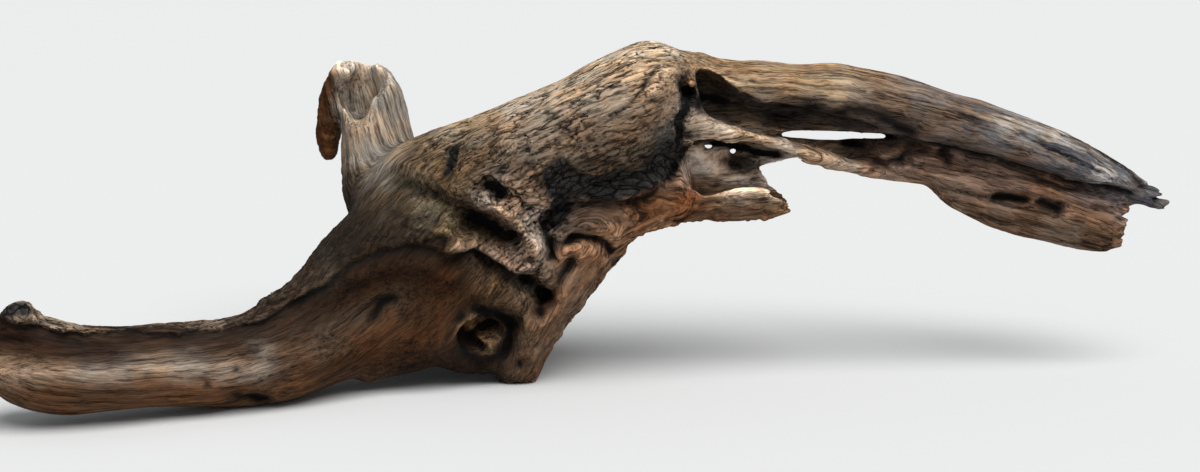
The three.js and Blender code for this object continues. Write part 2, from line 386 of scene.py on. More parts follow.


# name: (line, side, half width, depth, half width of the darkness, darkness). A minus depth stands out.
# Below means only that side of the line, which makes a step. The darkness is mostly painted shade: shadow
# lines under the rim, the lip, the spur, the char, the plank's steps and the beam, and shade in the caves,
# holes, grooves,
# valleys and the slit; the cracks, ovals and the scar are dark wood. A minus darkness clears what is dark
# there:
# the painted shade over the cave's chunks, which so look lit, and the scar's dark over the bare chip.
carving = {
    "rimStep": (rim[:10], "below", .0065, .0085, .0028, .97),
    "rimRise": (rim[9:], "below", .0100, .0050, .0060, .80),
    "rimEdge": ([(x, z + .008) for x, z in rim[:-4]], "both", .0055, -.0025, 0, 0),
    "purpleGroove": ([(-.430, .068), (-.400, .064), (-.365, .059)], "both", .0030, .0020, .0030, .45),
    "armRidge": ([(-.425, .056), (-.394, .047), (-.360, .045), (-.300, .047), (-.250, .043), (-.215, .046)],
                 "both", .0110, -.0045, 0, 0),
    "lip": (lip, "both", .0045, -.0070, 0, 0),
    "underLip": ([(x, z - .003) for x, z in lip[1:6]], "below", .0120, .0110, .0085, .88),
    "lumpUnderLip": ([(-.090, .073), (-.084, .080)], "both", .0080, -.0060, 0, 0),
    "middleCave": ([(-.102, .129), (-.091, .125), (-.081, .120), (-.070, .117)],
                   "both", .0080, .0160, .0082, .93),
    "fang": ([(-.092, .144), (-.080, .137), (-.069, .129), (-.060, .119), (-.054, .108)],
             "both", .0045, -.0130, 0, 0),
    "besideFang": ([(-.047, .126), (-.043, .114), (-.042, .102)], "both", .0050, .0130, .0048, .88),
    "upperCave": ([(-.088, .156), (-.079, .151)], "both", .0055, .0120, .0055, .92),
    "brow": ([(-.094, .161), (-.083, .163), (-.072, .158)], "both", .0045, -.0045, 0, 0),
    "darkMark": ([(-.113, .180), (-.117, .172), (-.120, .163)], "both", .0030, .0040, .0032, .80),
    "caveRing": ([(-.108, .056), (-.112, .045), (-.107, .033), (-.096, .025), (-.083, .022), (-.074, .031),
                  (-.074, .046), (-.081, .056), (-.096, .060)], "both", .0060, .0080, .0070, .90),
    "caveInside": ([(-.092, .043)], "both", .0130, 0, .0130, .80),
    "caveFill": ([(-.103, .043), (-.090, .038)], "both", .0115, -.0180, .0085, -.92),
    "wedge": ([(-.107, .050), (-.099, .050), (-.102, .045)], "both", .0038, -.0050, .0050, -.90),
    "chunk": ([(-.095, .035), (-.087, .037)], "both", .0050, -.0070, .0060, -.90),
    "caveGap": ([(-.103, .038), (-.095, .044), (-.086, .047)], "both", .0020, .0080, .0026, .92),
    "rootKnob": ([(-.067, .064)], "both", .0105, -.0075, 0, 0),
    "rootCave": ([(-.064, .085), (-.053, .077), (-.045, .068), (-.050, .060)],
                 "both", .0050, .0130, .0055, .95),
    "smallKnob": ([(-.057, .047)], "both", .0055, -.0045, 0, 0),
    "footHole": ([(-.066, .018)], "both", .0035, .0060, .0038, .90),
    "dent": ([(-.173, .061), (-.168, .068), (-.158, .071)], "both", .0040, .0045, .0036, .80),
    "armHoleA": ([(-.261, .037)], "both", .0030, .0040, .0028, .80),
    "armHoleB": ([(-.281, .029)], "both", .0030, .0030, .0025, .75),
    "recess": ([(-.267, .014), (-.248, .008)], "both", .0060, .0080, .0050, .80),
    "charStep": (charFoot, "below", .0110, .0100, .0038, .80),
    "charSink": (charHead, "below", .0100, .0040, .0020, .55),
    "tornGroove": ([(-.031, .112), (-.024, .117), (-.016, .116), (-.008, .113)],
                   "both", .0030, .0070, .0030, .92),
    "tornEye": ([(-.005, .112), (.000, .109), (.005, .103)], "both", .0040, .0080, .0040, .90),
    "tornFoldA": ([(-.043, .117), (-.028, .122), (-.010, .126), (.002, .124), (.009, .115)],
                  "both", .0036, -.0060, 0, 0),
    "tornFoldB": ([(-.030, .108), (-.010, .104), (.008, .098)], "both", .0060, -.0040, 0, 0),
    "rootSplit": ([(-.026, .098), (-.036, .086), (-.041, .072)], "both", .0040, .0070, .0030, .75),
    "valley": ([(-.160, .156), (-.140, .151), (-.120, .144), (-.104, .137)],
               "both", .0060, .0060, .0060, .45),
    "lowValley": ([(-.162, .137), (-.143, .131), (-.126, .129)], "both", .0035, .0035, .0030, .40),
    "shoulderFold": ([(-.150, .168), (-.128, .163), (-.110, .154)], "both", .0050, -.0035, 0, 0),
    "oliveFold": ([(-.153, .132), (-.138, .129), (-.121, .124), (-.106, .120)],
                  "both", .0032, -.0040, 0, 0),
    "oliveGapA": ([(-.153, .127), (-.138, .124), (-.121, .119)], "both", .0022, .0030, .0014, .60),
    "oliveGapB": ([(-.133, .115), (-.116, .118), (-.106, .124)], "both", .0020, .0025, .0012, .55),
    "oliveGapC": ([(-.144, .148), (-.126, .146), (-.112, .139)], "both", .0020, .0025, .0012, .60),
    "lipFold": ([(-.140, .122), (-.124, .117), (-.108, .118), (-.096, .120)], "both", .0040, -.0035, 0, 0),
    "jawFoldA": ([(.066, .137), (.090, .141), (.110, .141), (.134, .134)],
                 "both", .0030, .0030, .0018, .50),
    "jawFoldB": ([(.060, .131), (.090, .130), (.120, .130)], "both", .0030, .0022, .0014, .45),
    "jawDark": ([(.100, .160), (.121, .154)], "both", .0090, .0030, .0088, .80),
    "underSpur": ([(.058, .1785), (.095, .173), (.120, .168), (.134, .164)],
                  "both", .0050, .0030, .0046, .95),
    "platesCrackA": ([(-.088, .148), (-.074, .146), (-.062, .150)], "both", .0018, .0030, .0013, .85),
    "platesCrackB": ([(-.070, .155), (-.064, .145), (-.056, .135)], "both", .0018, .0030, .0013, .85),
    "platesCrackC": ([(-.062, .140), (-.052, .142), (-.046, .138)], "both", .0018, .0030, .0013, .85),
    "scar": ([(.056, .231), (.059, .218)], "both", .0050, .0050, .0065, .95),
    "chip": (chipLine, "both", .0026, -.0050, .0034, -.95),
    "humpEdge": ([(.058, .214), (.056, .205), (.052, .190)], "both", .0030, .0040, .0040, .90),
    "leftDark": ([(.140, .186), (.160, .180)], "both", .0050, .0040, .0050, .80),
    "ovalA": ([(.186, .177), (.198, .175)], "both", .0065, .0060, .0065, .75),
    "ovalB": ([(.206, .165), (.215, .161), (.226, .164), (.231, .172)], "both", .0035, .0040, .0032, .75),
    "ovalC": ([(.259, .171), (.263, .164)], "both", .0050, .0040, .0052, .65),
    "galleryA": ([(.301, .1355), (.324, .1325)], "both", .0042, .0100, .0044, .97),
    "galleryB": ([(.336, .1300), (.350, .1270)], "both", .0042, .0100, .0044, .97),
    "plankStep": ([(.220, .157), (.240, .152), (.266, .144), (.299, .138), (.350, .133), (.400, .126)],
                  "below", .0050, .0045, .0014, .80),
    "lowerStep": ([(.279, .130), (.313, .119), (.351, .112), (.398, .103)],
                  "below", .0040, .0030, .0012, .75),
    "upperLine": ([(.226, .164), (.272, .157), (.319, .150), (.391, .136)],
                  "both", .0020, .0020, .0010, .55),
    "beamSlit": (slitEdge, "below", .0060, .0110, .0050, .97),
    "beamUnder": ([(.135, .209), (.160, .2075), (.185, .205), (.211, .198), (.231, .189)],
                  "both", .0070, .0020, .0065, .82),
    "hollowLeft": ([(.068, .214), (.100, .208)], "both", .0070, .0020, .0075, .80),
    "tipCrackA": ([(.352, .184), (.375, .175), (.398, .159), (.417, .148)],
                  "both", .0022, .0035, .0013, .85),
    "tipCrackB": ([(.314, .187), (.337, .176), (.360, .1645), (.378, .158)],
                  "both", .0022, .0035, .0013, .85),
    "tipCrackC": ([(.383, .171), (.404, .158), (.418, .142)], "both", .0020, .0030, .0012, .80),
    "beamFoot": ([(x, z + .007) for x, z in slitEdge], "both", .0060, -.0030, 0, 0),
    "beamLip": ([(.062, .239), (.077, .233), (.088, .223), (.105, .214), (.150, .212)],
                "both", .0035, -.0025, 0, 0),
    "crack": ([(.037, .242), (.029, .233), (.021, .221), (.008, .211), (-.006, .197)],
              "both", .0018, .0024, .0011, .85),
}

# x, z, radius and height of each knot on the shown side
knots = [
    (.035, .224, .0075, .0034), (.021, .190, .0080, .0010), (-.071, .186, .0090, .0046),
    (-.080, .194, .0060, .0030), (-.110, .123, .0130, .0050), (-.067, .064, .0100, .0000),
]
# how far the marks wobble, over what length, and the step of the seed
wobble = [(.0017, .017, 0), (.0013, .0065, 5), (.0006, .003, 7)]


def shaken(points):
    # x and z with a wobble of a few millimetres, so that no mark keeps a ruled edge
    shift = [sum(far * wave(points, size, seed + step) for far, size, step in wobble) for seed in (61, 62)]
    return points[:, 0] + shift[0], points[:, 2] + shift[1]


def carve(points, normals):
    # how far each point goes along +Y and how dark it is, that darkness mostly painted shade: for every mark,
    # depth or darkness times exp(-(distance / half width)^2), on faces that look towards -Y
    x, z = shaken(points)
    push, dark = np.zeros(len(points)), np.zeros(len(points))
    for line, side, width, depth, darkWidth, darkness in carving.values():
        gap, above = lineReach(x, z, line)
        share = fade(above, "underLine") if side == "below" else 1.0
        push += share * depth * bell(gap, 0, width)
        if darkness > 0:
            dark = np.maximum(dark, share * darkness * bell(gap, 0, darkWidth))
        elif darkness < 0:
            dark *= 1 + darkness * bell(gap, 0, darkWidth)
    for kx, kz, radius, height in knots:
        push -= height * np.exp(-((x - kx) ** 2 + (z - kz) ** 2) / radius ** 2)
    strength = driftwood["darkness"] + driftwood["darkWander"] * wave(points, .011, seed=91)
    shown = fade(-normals[:, 1], "markedFace")
    return push * fade(-normals[:, 1], "pressedFace"), np.minimum(dark * strength, 1) * shown


def knotRings(points):
    # distance to the nearest knot's middle in its own radii; sideways counts a fifth more than up
    x, z = shaken(points)
    best = np.full(len(points), 3.0)
    for kx, kz, radius, _ in knots:
        best = np.minimum(best, np.hypot(1.2 * (x - kx), z - kz) / radius)
    return best


# The wood's tints, with painted light and shade among them: tops painted lighter and the parts under them
# darker,
# as if lit from above. name: (line in x and z, reach, colour, only on the shown side)
zones = {
    # painted light and shade: the hump lighter at its top and darker lower down
    "humpTop": ([(-.11, .212), (-.04, .232), (.03, .252)], .022, (.53, .41, .285), False),
    "humpMid": ([(-.07, .198), (.00, .214), (.04, .226)], .022, (.262, .184, .127), False),
    "humpLow": ([(-.07, .168), (-.02, .190), (.03, .200)], .022, (.060, .041, .026), False),
    "humpGrey": (greySeam, .008, (.120, .104, .088), True),
    "humpLeft": ([(-.145, .155), (-.12, .165), (-.10, .185)], .020, (.112, .078, .045), False),
    "neck": ([(-.225, .090), (-.195, .115), (-.168, .134)], .024, (.015, .011, .007), False),
    # painted light and shade on the arm: its top lighter; under the rim (scoopUp), in the hollow (scoopMid,
    # scoopRight) and underneath (armUnder) darker; scoopRidge is a painted highlight on the lit band
    "armTop": ([(-.42, .092), (-.35, .078), (-.28, .072)], .007, (.30, .215, .145), False),
    "armShoulder": ([(-.27, .072), (-.24, .078), (-.21, .096)], .010, (.060, .042, .028), False),
    "scoopUp": ([(-.43, .063), (-.34, .054), (-.26, .053), (-.22, .066)],
                .0150, (.019, .0095, .0055), True),
    "scoopRidge": ([(-.43, .044), (-.36, .040), (-.30, .041), (-.25, .038)],
                   .0065, (.290, .217, .160), True),
    "scoopTurn": ([(-.22, .046), (-.19, .056), (-.16, .070)], .012, (.060, .038, .024), True),
    "armUnder": ([(-.42, .026), (-.34, .022), (-.26, .018), (-.20, .018)], .014, (.084, .043, .022), False),
    "scoopMid": ([(-.21, .075), (-.17, .092), (-.14, .095)], .020, (.013, .005, .0015), True),
    "scoopRight": ([(-.19, .035), (-.15, .050), (-.12, .075)], .022, (.030, .012, .004), True),
    # the belly: dark wood, with painted shade beneath
    "belly": ([(-.14, .015), (-.10, .010), (-.07, .022)], .016, (.016, .008, .004), False),
    "olive": ([(-.13, .135), (-.11, .128), (-.10, .118)], .014, (.115, .088, .052), True),
    "plates": ([(-.07, .148), (-.055, .140), (-.048, .130)], .014, (.560, .410, .310), True),
    "lipEdge": ([(-.108, .110), (-.088, .106), (-.062, .094)], .005, (.230, .150, .105), True),
    "fangTip": ([(-.075, .134), (-.062, .121), (-.055, .111)], .005, (.260, .185, .120), True),
    "caveChunks": ([(-.104, .050), (-.089, .039)], .008, (.150, .090, .042), True),
    # painted light: the shaded inside of the hollow branch painted light
    "branchIn": ([(-.197, .230), (-.192, .214)], .0080, (.500, .410, .320), True),
    "knobs": ([(-.090, .075), (-.067, .064), (-.057, .047)], .010, (.075, .046, .025), True),
    "tornDark": ([(-.03, .122), (-.01, .128), (.01, .130)], .010, (.070, .045, .032), True),
    "tornLow": ([(-.02, .105), (.01, .112), (.04, .122)], .011, (.215, .112, .058), True),
    "tornRight": ([(.030, .142), (.050, .136), (.070, .130)], .010, (.095, .042, .018), True),
    "tornTriangle": ([(.052, .172), (.056, .158), (.062, .140)], .009, (.150, .050, .014), True),
    "root": ([(-.025, .085), (-.045, .055), (-.065, .015)], .012, (.126, .073, .044), False),
    # painted light: the jaw's shaded inside painted nearly white
    "jawIn": ([(.065, .165), (.090, .158), (.120, .155)], .012, (.880, .720, .580), False),
    "jawLip": ([(.075, .130), (.105, .132), (.130, .134)], .009, (.120, .066, .034), False),
    "jawRim": ([(.080, .139), (.110, .141), (.130, .138)], .006, (.125, .075, .043), False),
    "spur": ([(.055, .205), (.090, .195), (.140, .180), (.190, .166)], .008, (.310, .224, .156), False),
    # painted light and shade: the beam lighter on top and darker lower down
    "beamTop": ([(.07, .250), (.12, .238), (.19, .236), (.21, .234)], .014, (.25, .170, .100), False),
    "beamRoot": ([(.075, .222), (.10, .214), (.15, .206)], .008, (.085, .066, .052), False),
    "beamMid": ([(.20, .218), (.25, .210), (.29, .200)], .016, (.149, .106, .076), False),
    "beamLow": ([(.19, .198), (.24, .190), (.30, .176), (.36, .158)], .011, (.070, .050, .040), False),
    "beamGrey": ([(.31, .195), (.36, .175), (.39, .160)], .018, (.255, .231, .210), False),
    "beamTip": ([(.405, .148), (.435, .130)], .014, (.064, .060, .062), False),
    "plank": ([(.20, .170), (.26, .158), (.32, .145), (.39, .130)], .012, (.172, .101, .068), False),
    # painted shade: the plank's lower sheet darker
    "plankLow": ([(.26, .130), (.32, .112), (.39, .102)], .012, (.110, .070, .046), False),
    "branch": ([(-.178, .172), (-.182, .190), (-.185, .218)], .020, (.225, .184, .143), False),
    "chip": (chipLine, .004, (.420, .230, .105), True),
    "branchRim": ([(-.215, .235), (-.190, .248), (-.170, .235)], .010, (.600, .475, .370), False),
    "flap": ([(-.226, .225), (-.231, .195), (-.228, .165)], .010, (.062, .023, .006), False),
}


def mixedTintAndShade(points, normals):
    # the zones' colours, painted light and shade among them, each weighed by exp(-(distance / reach)^2)
    x, z = shaken(points)
    x = x + driftwood["zoneWobble"] * wave(points, .035, seed=71)
    z = z + driftwood["zoneWobble"] * wave(points, .035, seed=72)
    front = fade(-normals[:, 1], "tintedFace")
    total = np.full((len(points), 3), driftwood["plainTint"]) * driftwood["plainShare"]
    weight = np.full(len(points), driftwood["plainShare"])
    for line, reach, colour, frontOnly in zones.values():
        share = bell(lineReach(x, z, line)[0], 0, reach) * (front if frontOnly else 1.0)
        total += share[:, None] * np.array(colour)
        weight += share
    return total / weight[:, None]


# Where the wood is burnt: lines in x and z, and how far the char spreads from each.
charred = [
    ([(-.036, .166), (-.035, .155), (-.033, .142), (-.040, .131)], .0088),
    ([(-.030, .157), (-.010, .153), (.006, .155), (.027, .158), (.042, .168), (.049, .180)], .0115),
    ([(.059, .213), (.056, .206), (.053, .190), (.050, .180)], .0034),
    ([(.057, .228), (.060, .216)], .0068),
    ([(-.412, .092), (-.396, .094)], .0130),
    ([(-.083, .155), (-.078, .152)], .0050),
    ([(-.115, .178), (-.119, .166)], .0035),
]
# Painted shade in the hollows: a line down the middle of each, how far its walls are, and how dark the
# painted shade gets.
hollows = {
    "log": ([(.062, .018, .211), (.085, .015, .208), (.110, .020, .202), (.145, .028, .199),
             (.215, .044, .190)], .050, 1.0),
    "channel": ([(.200, .086, .203), (.260, .084, .191), (.310, .086, .180), (.400, .084, .148)],
                .034, .6),
}


def facingLine(points, normals, line, reach):
    # 1 on surfaces within reach of the line that look at it
    dense = samples(line)[0]
    i, gap = nearestSample(points, dense)
    toward = (dense[i] - points) / np.maximum(gap, 1e-6)[:, None]
    return fade((toward * normals).sum(1), "hollowFace") * ease(gap, reach, .75 * reach)


def burnt(x, z, blur):
    # char close to its lines and soot further out, both with a ragged edge
    char, soot = np.zeros(len(x)), np.zeros(len(x))
    for line, width in charred:
        reach = lineReach(x, z, line)[0] / width
        char = np.maximum(char, fade(reach + .40 * blur, "charEdge"))
        soot = np.maximum(soot, fade(reach + 1.1 * blur, "sootEdge"))
    chipX, chipZ, chipRadius = chipSpot
    chip = np.exp(-((x - chipX) ** 2 + (z - chipZ) ** 2) / chipRadius ** 2)
    return char, soot, chip


def regions(points, normals):
    # how much of each kind of surface is at each point, from 0 to 1
    x, z = shaken(points)
    blur = .5 * wave(points, .018, seed=21) + .5 * wave(points, .006, seed=22)
    front = fade(-normals[:, 1], "frontFace")

    def near(line, name):
        return front * fade(lineReach(x, z, line)[0], name)

    rimHeight = np.interp(x, [a for a, _ in rim], [b for _, b in rim])
    smooth = fade(x, "armX") * front * fade(rimHeight - z, "underRimZ")
    char, soot, chip = burnt(x, z, blur)
    soot *= front * (1 - char) * driftwood["soot"]
    char *= front * (1 - chip)
    branch = fade(z, "branchZ") * fade(x, "branchX")
    overBeam = z - (beamLine[0] + beamLine[1] * x)
    grey = fade(x + .05 * blur, "greyX") * fade(overBeam, "greyOverBeamLine")
    torn = np.maximum(near(tornRun, "tornRunGap"), near(tornRise, "tornRiseGap"))
    torn = torn * (1 - char) * (1 - fade(x, "tornEndX"))
    log = fade(x, "logX")
    plate = near(plateRow, "plateGap") * (1 - char)

    # bark is what the others leave: each takes away its own share
    bark = (1 - smooth) * (1 - char) * (1 - .9 * branch) * (1 - .92 * log) * (1 - torn)
    bark *= 1 - .8 * near(rootRun, "rootGap")
    bark *= 1 - .6 * bell(lineReach(x, z, greySeam)[0], 0, .009)
    bark *= 1 - .65 * plate
    waist = fade(x, "waistRightX") * fade(x, "waistLeftX") * fade(z, "waistZ") * (1 - smooth)
    bark *= 1 - .45 * waist
    torn = np.maximum(torn, .55 * waist * (1 - char))
    crumbly = fade(x, "crumblyX") * (1 - smooth) * fade(z - rimHeight, "overRimZ")
    # painted shade on the hollows' inner walls
    hollow = np.zeros(len(points))
    for line, reach, share in hollows.values():
        hollow = np.maximum(hollow, share * facingLine(points, normals, line, reach))
    hollow *= fade(z - np.interp(x, *spurTop), "overSpurZ")
    return {
        "char": char, "soot": soot, "grey": grey, "torn": torn, "smooth": smooth, "branch": branch,
        "bark": bark, "hollow": hollow, "log": log, "crumbly": crumbly, "plate": plate,
    }


# Daylight shows through here: an outline in x and z, and the y at which the cut has it.
openings = {
    "slit": ([
        (.118, .1842), (.134, .1862), (.150, .1872), (.170, .1872), (.188, .1866), (.204, .1858),
        (.224, .1846), (.236, .1830), (.222, .1812), (.206, .1812), (.198, .1822), (.190, .1812),
        (.180, .1798), (.165, .1804), (.150, .1816), (.136, .1824), (.122, .1826),
    ], .050),
    "wormHoleA": ([
        (.0755, .1732), (.0785, .1748), (.0825, .1742), (.0840, .1715), (.0815, .1690), (.0770, .1697),
    ], .078),
    "wormHoleB": ([
        (.0955, .1672), (.0975, .1695), (.1005, .1698), (.1025, .1680), (.1010, .1655), (.0980, .1652),
    ], .078),
}
openingSlope = -.125            # rise of each cut along +Y
openingEnds = (-.06, .16)       # the y where each cut starts and stops
slitMiddle = (.060, .183)       # the y and z of the slit's middle
backRimAt = (-.197, .011)       # x of the middle and width: the hollow branch's rear rim
crestAt = (.039, .028)          # the same for the crest of the crown


def settled(obj):
    # makes the object's modifiers part of its mesh
    graph = bpy.context.evaluated_depsgraph_get()
    mesh = bpy.data.meshes.new_from_object(obj.evaluated_get(graph))
    obj.modifiers.clear()
    old, obj.data = obj.data, mesh
    bpy.data.meshes.remove(old)


def skinned(obj, voxel):
    # one closed skin over the whole object
    modifier = obj.modifiers.new("skin", "REMESH")
    modifier.mode = "VOXEL"
    modifier.voxel_size = voxel
    modifier.use_smooth_shade = True
    settled(obj)


def cutThrough(obj, outline, depth):
    # takes away a prism on the outline, from the front of the wood to its back
    n = len(outline)
    ends = [(y, openingSlope * (y - depth)) for y in openingEnds]
    corners = [(x, y, z + lift) for y, lift in ends for x, z in outline]
    sides = [(i, (i + 1) % n, n + (i + 1) % n, n + i) for i in range(n)]
    mesh = bpy.data.meshes.new("cutter")
    mesh.from_pydata(corners, [], [tuple(range(n))[::-1], tuple(range(n, 2 * n))] + sides)
    cutter = bpy.data.objects.new("cutter", mesh)
    bpy.context.scene.collection.objects.link(cutter)
    modifier = obj.modifiers.new("cut", "BOOLEAN")
    modifier.operation = "DIFFERENCE"
    modifier.solver = "MANIFOLD"
    modifier.object = cutter
    settled(obj)
    bpy.data.objects.remove(cutter)
    bpy.data.meshes.remove(mesh)


def positions(mesh):
    p = np.empty(len(mesh.vertices) * 3, np.float32)
    mesh.vertices.foreach_get("co", p)
    return p.reshape(-1, 3).astype(float)


def move(mesh, points):
    mesh.vertices.foreach_set("co", points.astype(np.float32).ravel())
    mesh.update()


def normalsOf(mesh):
    n = np.empty(len(mesh.vertices) * 3, np.float32)
    mesh.vertex_normals.foreach_get("vector", n)
    return n.reshape(-1, 3).astype(float)


def neighbours(mesh):
    e = np.empty(len(mesh.edges) * 2, np.int32)
    mesh.edges.foreach_get("vertices", e)
    e = e.reshape(-1, 2)
    return np.concatenate([e[:, 0], e[:, 1]]), np.concatenate([e[:, 1], e[:, 0]])


def averaged(values, links, rounds, strength=.6):
    # each round moves every value towards the mean of its neighbours
    here, there = links
    size = len(values)
    count = np.bincount(here, minlength=size)[:, None]
    values = values.reshape(size, -1).copy()
    for _ in range(rounds):
        sums = [np.bincount(here, values[there, k], size) for k in range(values.shape[1])]
        values += strength * (np.stack(sums, 1) / count - values)
    return values


def bent(points, g, far, size, seed):
    # the place in the grain moved about by noise, so that no fibre runs straight
    return g + far * np.stack([wave(points, size, seed + k) for k in range(3)], 1)


def broadRelief(points, normals, g):
    # lumps of a few centimetres, folds of one or two, and flutes that run with the grain
    part = regions(points, normals)
    x, y, z = points.T
    crown = fade(x, "crownLeftX") * fade(x, "crownRightX") * fade(z, "crownFootZ")
    flow = bent(points, g, .008, .030, 81)
    lumps = driftwood["lumps"] * (.35 + crown) * waves(points, .052, octaves=3, seed=3)
    folds = driftwood["folds"] * crown * (.5 - np.abs(waves(flow, (.040, .015, .015), octaves=2, seed=5)))
    flutes = driftwood["flutes"] + driftwood["crownFlutes"] * crown
    flutes = flutes * waves(flow, (.16, .016, .016), octaves=2, seed=7)
    ropes = driftwood["ropes"] * part["log"] * waves(flow, (.13, .011, .011), octaves=2, seed=9)
    out = (lumps + folds + flutes + ropes) * (1 - driftwood["calmArm"] * part["smooth"])
    points = points + normals * out[:, None]
    points[:, 1] += carve(points, normals)[0]

    # the hollow branch's rear rim and the crest of the crown stand higher, and the slit's edges close in
    backRim = bell(x, *backRimAt) * fade(z, "backRimZ") * fade(y, "backRimY")
    points[:, 2] += driftwood["backRimLift"] * backRim
    points[:, 2] += driftwood["crestLift"] * bell(x, *crestAt) * fade(z, "crestZ")
    overSlit = z - slitMiddle[1] - openingSlope * (y - slitMiddle[0])
    nearSlit = fade(x, "slitLeftX") * fade(x, "slitRightX") * fade(y, "slitFrontY") * fade(y, "slitBackY")
    pinch = np.tanh(overSlit / .002) * bell(overSlit, 0, .009)
    points[:, 2] -= driftwood["slitPinch"] * nearSlit * pinch
    return points


def burrs(points, normals):
    # rough spots under the belly, and broken edges down the right side of the front root
    x, z = points[:, 0], points[:, 2]
    below = fade(-normals[:, 2], "downFace") * fade(x, "bellyLeftX") * fade(x, "bellyRightX")
    below = below * fade(z, "bellyZ")
    right = fade(normals[:, 0], "rightFace") * fade(x, "rootLeftX") * fade(x, "rootRightX")
    right = right * fade(z, "rootFootZ") * fade(z, "rootHeadZ")
    spots = driftwood["burr"] * np.maximum(waves(points, .0060, octaves=2, seed=29), 0)
    edges = driftwood["burr"] * waves(points, .011, octaves=3, seed=37, keep=.6)
    return spots * below + edges * right


def fineRelief(points, normals, g, part):
    # bark cracks, char blocks, splinters and fibres, all square to the surface: each is its height times
    # how much of its kind of wood is there, times noise that is drawn out along the grain
    x, z = points[:, 0], points[:, 2]
    flow = bent(points, g, .0045, .016, 31)
    ridged = 1 - np.abs(waves(flow, (.022, .0060, .0060), octaves=3, seed=11, keep=.6))
    wrinkle = ease(ridged, .84, .99)
    wall, block = cells(flow, (.0125, .0080, .0080), 41)
    scales = waves(flow, (.017, .0052, .0052), octaves=2, seed=13)
    splinters = waves(flow, (.045, .0055, .0055), octaves=3, seed=19, keep=.6)
    flakes = waves(flow, (.05, .0055, .0055), octaves=3, seed=25, keep=.6)
    threads = waves(flow, (.06, .0045, .0045), octaves=2, seed=15)
    crumbs = waves(points, (.016, .008, .006), octaves=3, seed=23, keep=.65)

    out = part["bark"] * (-driftwood["barkCrack"] * wrinkle + driftwood["barkScale"] * scales)
    charCracks = driftwood["charCrack"] * ease(wall, .22, .02)
    out += part["char"] * (driftwood["charBlock"] * (block - .5) - charCracks)
    tornLumps = driftwood["tornLump"] * waves(points, .012, octaves=3, seed=27, keep=.6)
    out += part["torn"] * (driftwood["tornRidge"] * splinters + tornLumps)
    out += driftwood["fibreRidge"] * (1 + .8 * part["log"]) * threads
    out += driftwood["branchLump"] * part["branch"] * waves(points, .010, octaves=2, seed=17)
    out -= driftwood["plateCrack"] * part["plate"] * ease(wall, .16, .02)
    out += driftwood["tipFlake"] * fade(x, "beamEndX") * fade(z, "beamEndZ") * flakes
    out += burrs(points, normals)
    out += driftwood["crumb"] * part["crumbly"] * crumbs
    crack = np.maximum(wrinkle * part["bark"], part["plate"] * ease(wall, .13, .04))
    return points + normals * out[:, None], crack


def frayed(points):
    # the tip drawn out, then broken ends: fibres of uneven length, each the same all along its limb
    reach = np.maximum(points[:, 0] - driftwood["tipStart"], 0)
    points[:, 0] += driftwood["tipDraw"] * reach
    points[:, 2] -= driftwood["tipDrop"] * reach * fade(points[:, 2], "tipZ")
    x, y, z = points.T
    endOn = np.stack([x * 0, y, z], 1)
    push = np.tanh(3 * wave(endOn, (1, .016, .0046), seed=51)) + .6 * wave(endOn, (1, .005, .0025), seed=52)
    plank = driftwood["plankFray"] * fade(x, "plankX") * fade(z, "plankZ")
    tip = driftwood["tipFray"] * fade(x, "tipX") * fade(z, "tipZ")
    jaw = driftwood["jawFray"] * fade(x, "jawLeftX") * fade(x, "jawRightX") * fade(z, "jawZ")
    points[:, 0] += push * (plank + tip + jaw)
    fromAbove = np.stack([x, y, z * 0], 1)
    ragged = wave(fromAbove, (.0070, .012, 1), seed=53) + .5 * wave(fromAbove, (.003, .006, 1), seed=54)
    points[:, 2] += driftwood["branchFray"] * ragged * fade(z, "branchEndZ") * fade(x, "branchEndX")
    return points


def overFloor(points):
    # nothing reaches below the floor
    points[:, 2] = np.maximum(points[:, 2], base.z)
    return points


def sunk(points, normals, links, rounds, full):
    # how far each point lies below the mean of its surroundings, as a share of the full depth
    return ((averaged(points, links, rounds) - points) * normals).sum(1) / full


def addAttribute(mesh, name, *columns):
    # three numbers for each point, which the material reads by name
    values = columns[0] if len(columns) == 1 else np.stack(columns, 1)
    attribute = mesh.attributes.new(name, "FLOAT_VECTOR", "POINT")
    attribute.data.foreach_set("vector", values.astype(np.float32).ravel())


def triangleCount(mesh):
    # a face with n corners makes n - 2 triangles
    return len(mesh.loops) - 2 * len(mesh.polygons)


def cadCopy():
    # the CAD solid's mesh, merged, as a new object
    wood = bpy.data.objects.new("weathered_driftwood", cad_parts["driftwood"].data.copy())
    bpy.context.scene.collection.objects.link(wood)
    weld = wood.modifiers.new("weld", "WELD")
    weld.merge_threshold = 1e-5
    settled(wood)
    return wood


def shapeBroadly(wood):
    # the facets melted, the broad relief, and the openings cut
    skinned(wood, driftwood["coarseVoxel"])
    links = neighbours(wood.data)
    points = averaged(positions(wood.data), links, driftwood["smoothing"])
    move(wood.data, points)
    points = broadRelief(points, normalsOf(wood.data), grainPlace(points))
    move(wood.data, averaged(points, links, 1))
    for outline, depth in openings.values():
        cutThrough(wood, outline, depth)


